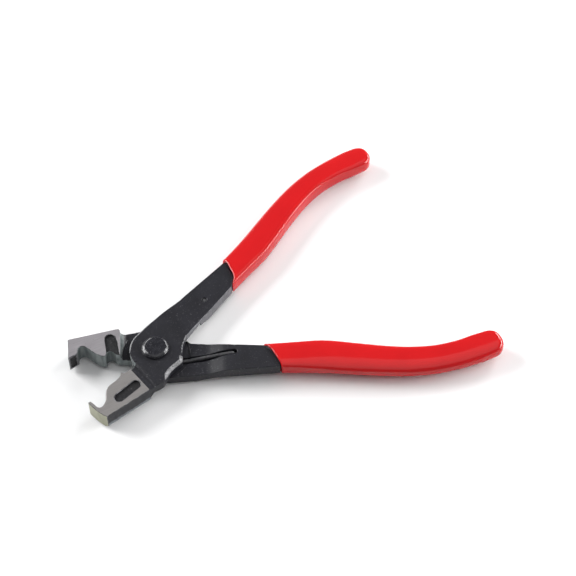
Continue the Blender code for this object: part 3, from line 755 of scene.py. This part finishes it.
def section(outer_width, inner_width, half_height, share, soft):
    """One section of the grip, as (towards the outer edge, up) points that start at the outer edge."""
    points = []
    for column in range(GRIP_COLUMNS):
        angle = 2 * math.pi * column / GRIP_COLUMNS
        c, s = math.cos(angle), math.sin(angle)
        power = section_power(share, c > 0, soft)
        width = outer_width if c > 0 else inner_width
        points.append((math.copysign(abs(c) ** (2 / power), c) * width,
                       math.copysign(abs(s) ** (2 / power), s) * half_height))
    return points


def grip_rings(mouth, widths, inset, start_gap, soft):
    """Rings of points from the mouth to the tip, drawn in by inset and starting start_gap past the mouth."""
    line = spline([(x, y, w, v) for (x, y), w, v in zip(HANDLE_CENTRE, *widths)], SPLINE_STEPS)
    rings = []
    last = len(line) - 1
    for i, knot in enumerate(line):
        x, y, outer_width, inner_width = knot
        along = (line[min(i + 1, last)] - line[max(i - 1, 0)]).xy.normalized()
        across = Vector((-along.y, along.x))
        centre = Vector((x, y))
        rings.append([Vector((*(centre + across * side), up)) for side, up in
                      section(outer_width - inset, inner_width - inset, GRIP_HALF - inset, i / last, soft)])
    radius = (outer_width + inner_width) / 2 - inset
    end = centre + across * (outer_width - inner_width) / 2
    for step in range(1, TIP_STEPS + 1):
        angle = math.radians(TIP_CLOSE * step / TIP_STEPS)
        reach, width = radius * math.sin(angle), radius * math.cos(angle)
        rim = max(0.0, 1 - (radius - reach) / TIP_ROUNDING)
        height = (GRIP_HALF - inset) * math.sqrt(1 - TIP_THINNING * rim ** TIP_CURVE)
        rings.append([Vector((*(end + along * reach + across * side), up)) for side, up in
                      section(width, width, height, 1.0, soft)])
    # The rings behind the mouth are spread out again between its slanted line and the first whole ring
    for column in range(GRIP_COLUMNS):
        share = (1 - math.cos(2 * math.pi * column / GRIP_COLUMNS)) / 2
        start, beyond = rings[0][column], rings[MOUTH_STATIONS][column]
        run = (beyond - start) / (beyond.x - start.x)
        first = start + run * (mouth_x(mouth, share) + start_gap - start.x)
        for ring in range(MOUTH_STATIONS):
            rings[ring][column] = first.lerp(beyond, ring / MOUTH_STATIONS)
    return rings


def skin(shape, rings):
    """Quads between rings of equal length, each ring a closed loop."""
    loops = [[shape.verts.new(p * MM) for p in ring] for ring in rings]
    for lower, upper in zip(loops, loops[1:]):
        for i in range(len(lower)):
            j = (i + 1) % len(lower)
            shape.faces.new((lower[i], lower[j], upper[j], upper[i]))
    return loops


def close_end(shape, loop):
    """Closes a ring of verts with a strip of quads across it."""
    count = len(loop)
    for i in range(1, count // 2):
        a, b = loop[i], loop[count - i]
        c, d = loop[i + 1], loop[count - i - 1]
        if c is d:
            shape.faces.new((a, b, c))
        else:
            shape.faces.new((a, b, d, c))
    shape.faces.new((loop[0], loop[1], loop[count - 1]))


def make_grip(node, name, mouth, widths, body, over):
    """One grip as a closed sleeve. The rear one is made as the front one is, then turned over."""
    outer = grip_rings(mouth, widths, PLAY, LIP_RADIUS - LIP_OVERLAP, over)
    inner = grip_rings(mouth, widths, WALL, 0.0, over)
    # The lip: a bead just behind the mouth, rolled over to meet the steel
    for ring, swell in enumerate(LIP_SWELL):
        centre = sum(outer[ring], Vector()) / GRIP_COLUMNS
        outer[ring] = [p + (p - centre).normalized() * LIP_BULGE * swell for p in outer[ring]]
    first = outer[0]
    ahead = (outer[0][0] - outer[1][0]).normalized()
    centre = sum(first, Vector()) / GRIP_COLUMNS
    lip = []
    for a in map(math.radians, LIP_DEGREES):
        lip.append([p - (p - centre).normalized() * LIP_RADIUS * (1 - math.cos(a))
                    + ahead * LIP_RADIUS * math.sin(a) for p in first])
    shape = bmesh.new()
    loops = skin(shape, inner[::-1] + lip + outer)
    close_end(shape, loops[0])
    close_end(shape, loops[-1])
    bmesh.ops.recalc_face_normals(shape, faces=shape.faces)
    mesh = mesh_from(shape, name)
    mesh.transform(LIFT @ TURN_OVER if over else LIFT)
    piece = place_piece(mesh, name, ["vinyl"])
    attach(piece, body)
    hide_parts(node)


make_grip("grip_front", "dipped_grip_front", FRONT_MOUTH, FRONT_WIDTHS, "front_half", False)
make_grip("grip_rear", "dipped_grip_rear", REAR_MOUTH, REAR_WIDTHS, "rear_half", True)

# Rivet -----------------------------------------------------------------------------------------------------

RIVET_CROWN = 10.999
RIVET_COLUMNS = 96
RIVET_CREASE = 50.0
# One head's outline from the struck face outwards, as (radius, height above the crown)
RIVET_HEAD = [(1.6, -0.03), (3.1, -0.02), (3.75, -0.01), (4.15, 0.0), (4.45, -0.05), (4.8, -0.18),
              (5.1, -0.37), (5.35, -0.62), (5.52, -0.86), (5.6, -1.08), (5.58, -1.25), (5.5, -1.35),
              (3.0, -1.35)]
# Hammer marks are kept off the struck face and off the head's underside
MARKS = 15
MARKED_RADIUS = 3.2
MARKED_DROP = -1.2
WOBBLE = 0.05
WOBBLE_RADIUS = 4.0


def rivet_height(x, y, height, marks):
    """How high a point of the head stands above the mid-plane, with the hammer's marks pressed into it."""
    radius = math.hypot(x, y)
    marked = radius >= MARKED_RADIUS and height >= MARKED_DROP
    dent = sum(depth * math.exp(-((x - r * math.cos(a)) ** 2 + (y - r * math.sin(a)) ** 2) / size ** 2)
               for a, r, size, depth in marks) if marked else 0.0
    return RIVET_CROWN + height - dent - MID_HEIGHT


def rivet_highlight_slot(place):
    """The slot of a face of the head: the pale grained finish as a painted highlight on the rim's far side,
    and in spots on its near side.
    """
    turn = math.degrees(math.atan2(place.y, place.x)) % 360
    radius = place.xy.length
    arc = 4.15 < radius < 4.4 and 85 < turn < 205
    thin_spot = 4.4 < radius < 4.75 and (turn < 14 or turn > 345)
    wide_spot = 4.4 < radius < 5.2 and 298 < turn < 318
    return 1 if arc or thin_spot or wide_spot else 0


def make_rivet():
    """A peened rivet: a flat struck face inside a raised, uneven rounded rim, the same on both sides."""
    rng = random.Random(11)
    # Each mark's bearing, distance from the axis, size and depth
    marks = [(rng.uniform(0, 2 * math.pi), rng.uniform(4.5, 5.4), rng.uniform(0.3, 0.6),
              rng.uniform(0.05, 0.12)) for _ in range(MARKS)]
    shape = bmesh.new()
    rings = []
    for radius, height in RIVET_HEAD:
        ring = []
        for column in range(RIVET_COLUMNS):
            angle = 2 * math.pi * column / RIVET_COLUMNS
            c, s = math.cos(angle), math.sin(angle)
            uneven = WOBBLE * noise.noise(Vector((c * 2, s * 2, 0.0))) if radius > WOBBLE_RADIUS else 0.0
            reach = radius + uneven
            ring.append(Vector((reach * c, reach * s, rivet_height(radius * c, radius * s, height, marks))))
        rings.append(ring)
    lower = [[Vector((p.x, p.y, -p.z)) for p in ring] for ring in rings[::-1]]
    loops = skin(shape, rings + lower)
    shape.faces.new(loops[0])
    shape.faces.new(loops[-1])
    bmesh.ops.recalc_face_normals(shape, faces=shape.faces)
    mesh = mesh_from(shape, "peened_rivet", RIVET_CREASE)
    mesh.transform(LIFT)
    # Painted highlights: faces of the rim where lights would glint take the pale grained finish.
    for polygon in mesh.polygons:
        polygon.material_index = rivet_highlight_slot(polygon.center / MM)
    piece = place_piece(mesh, "peened_rivet", ["peened", "pale_steel"])
    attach(piece, "rear_half")
    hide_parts("pivot_rivet")


make_rivet()

# Spring ----------------------------------------------------------------------------------------------------

WIRE_RADIUS = 0.8
WIRE_COLUMNS = 20
WIRE_CREASE = 60.0
COIL_RADIUS = 4.6
BOW_STEPS = 60
# A leg lies flat at this depth, climbs from the end of its flat part, then bends down into its hole
LEG_DEPTH = 1.0
LEG_SLOPE = 0.345
LEG_FLAT = 12.5
LEG_LENGTH = 33.2
LEG_RISE = 2.65
LEG_BEND = 1.5
LEG_STEP = 0.6
SMOOTHINGS = 3
HANDLE_HALF = 2.5


def leg_frame():
    """From (along the leg, across it towards the handle's outer edge, height) to the front lever's frame."""
    along = Vector((1.0, LEG_SLOPE, 0.0)).normalized()
    across = Vector((-along.y, along.x, 0.0))
    made = Matrix.Identity(4)
    made.col[0] = (*along, 0.0)
    made.col[1] = (*across, 0.0)
    made.col[3] = (*(across * COIL_RADIUS), 1.0)
    return made


def leg_points():
    """One leg's centreline, from the bow to the tip bent down into its hole."""
    hole = LEG_LENGTH - LEG_BEND
    top = LEG_DEPTH - LEG_RISE
    points = [(1.0, LEG_DEPTH), (LEG_FLAT, LEG_DEPTH), (hole - 1.2, top + 0.15), (hole - 0.35, top + 0.3),
              (hole, top + 1.0), (hole, HANDLE_HALF - 0.25)]
    fine = []
    for (x0, z0), (x1, z1) in zip(points, points[1:]):
        pieces = max(1, round(math.hypot(x1 - x0, z1 - z0) / LEG_STEP))
        fine += [(x0 + (x1 - x0) * i / pieces, z0 + (z1 - z0) * i / pieces) for i in range(pieces)]
    fine.append(points[-1])
    for _ in range(SMOOTHINGS):
        fine = [fine[0]] + [tuple((a + 2 * b + c) / 4 for a, b, c in zip(*three))
                            for three in zip(fine, fine[1:], fine[2:])] + [fine[-1]]
    return [Vector((x, 0.0, z)) for x, z in fine]


def make_spring():
    """A hairpin: the front leg, a bow round the rivet that crosses the mid-plane, and the rear leg."""
    front_leg = [leg_frame() @ p for p in leg_points()]
    rear_leg = [TURN_OVER @ p for p in front_leg]
    start = math.degrees(math.atan(LEG_SLOPE)) + 90
    bow = []
    for i in range(BOW_STEPS + 1):
        share = i / BOW_STEPS
        angle = math.radians(start + (360 - 2 * start) * share)
        bow.append(Vector((COIL_RADIUS * math.cos(angle), COIL_RADIUS * math.sin(angle),
                           LEG_DEPTH * math.cos(math.pi * share))))
    route = front_leg[::-1] + bow + rear_leg
    shape = bmesh.new()
    rings = []
    across = Vector((0.0, 1.0, 0.0))
    for i, point in enumerate(route):
        along = (route[min(i + 1, len(route) - 1)] - route[max(i - 1, 0)]).normalized()
        across = (across - along * across.dot(along)).normalized()
        up = along.cross(across)
        rings.append([point + (across * math.cos(2 * math.pi * k / WIRE_COLUMNS)
                               + up * math.sin(2 * math.pi * k / WIRE_COLUMNS)) * WIRE_RADIUS
                      for k in range(WIRE_COLUMNS)])
    loops = skin(shape, rings)
    shape.faces.new(loops[0])
    shape.faces.new(loops[-1])
    bmesh.ops.recalc_face_normals(shape, faces=shape.faces)
    mesh = mesh_from(shape, "hairpin_spring", WIRE_CREASE)
    mesh.transform(LIFT)
    piece = place_piece(mesh, "hairpin_spring", ["wire"])
    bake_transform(piece)
    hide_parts("return_spring")


make_spring()

# Studio ----------------------------------------------------------------------------------------------------

# In metres and watts from here on
LOOK_AT = Vector((0.0631, 0.0062, 0.0055))
CAMERA_AT = Vector((-0.1109, -0.3529, 0.5163))
CAMERA_ROLL = -0.849
LENS = 96.46
FLOOR_RADIUS = 3.0
TOOL_MIDDLE = Vector((0.05, 0.0, 0.0))
AMBIENT = (0.16, 0.16, 0.165)


def make_camera():
    """The camera at the photograph's viewing angle."""
    data = bpy.data.cameras.new("camera")
    data.lens = LENS
    data.sensor_width = 36.0
    data.clip_start = 0.01
    data.clip_end = 20.0
    camera = bpy.data.objects.new("camera", data)
    bpy.context.scene.collection.objects.link(camera)
    turn = (LOOK_AT - CAMERA_AT).to_track_quat("-Z", "Y").to_matrix().to_4x4()
    roll = Matrix.Rotation(math.radians(CAMERA_ROLL), 4, "Z")
    camera.matrix_world = Matrix.Translation(CAMERA_AT) @ turn @ roll
    bpy.context.scene.camera = camera


def make_floor():
    """A plain pale floor."""
    shape = bmesh.new()
    bmesh.ops.create_circle(shape, cap_ends=True, segments=96, radius=FLOOR_RADIUS)
    mesh = bpy.data.meshes.new("floor")
    shape.to_mesh(mesh)
    shape.free()
    floor = bpy.data.objects.new("floor", mesh)
    bpy.context.scene.collection.objects.link(floor)
    paper = Finish("floor_paper")
    paper.set(Roughness=0.8, Specular_IOR_Level=0.1, Base_Color=(0.9, 0.9, 0.9, 1.0))
    mesh.materials.append(paper.material)


def area_light(name, toward, distance, size, power, size_y=None):
    """A softbox on one side of the tool's middle, facing it."""
    data = bpy.data.lights.new(name, "AREA")
    data.energy = power
    data.size = size
    if size_y:
        data.shape = "RECTANGLE"
        data.size_y = size_y
    light = bpy.data.objects.new(name, data)
    bpy.context.scene.collection.objects.link(light)
    light.location = TOOL_MIDDLE + Vector(toward).normalized() * distance
    light.rotation_mode = "QUATERNION"
    light.rotation_quaternion = (TOOL_MIDDLE - light.location).to_track_quat("-Z", "Y")


def make_studio():
    """Dim surroundings, a weak softbox above, strong ones behind, and a strip for the right-hand sides."""
    world = bpy.data.worlds.new("studio")
    bpy.context.scene.world = world
    world.use_nodes = True
    world.node_tree.nodes["Background"].inputs["Color"].default_value = (*AMBIENT, 1.0)
    area_light("overhead", (0.0, -0.15, 1.0), distance=1.5, size=1.8, power=6.6)
    area_light("back_left", (-0.62, 0.7, 0.5), distance=1.4, size=0.8, power=25.0)
    area_light("back_right", (0.95, 0.4, 0.5), distance=1.4, size=0.5, power=9.0)
    area_light("right_strip", (0.93, -0.3, 0.36), distance=1.2, size=1.0, power=15.0, size_y=0.14)
    bpy.context.scene.view_settings.view_transform = "Standard"


make_camera()
make_floor()
make_studio()
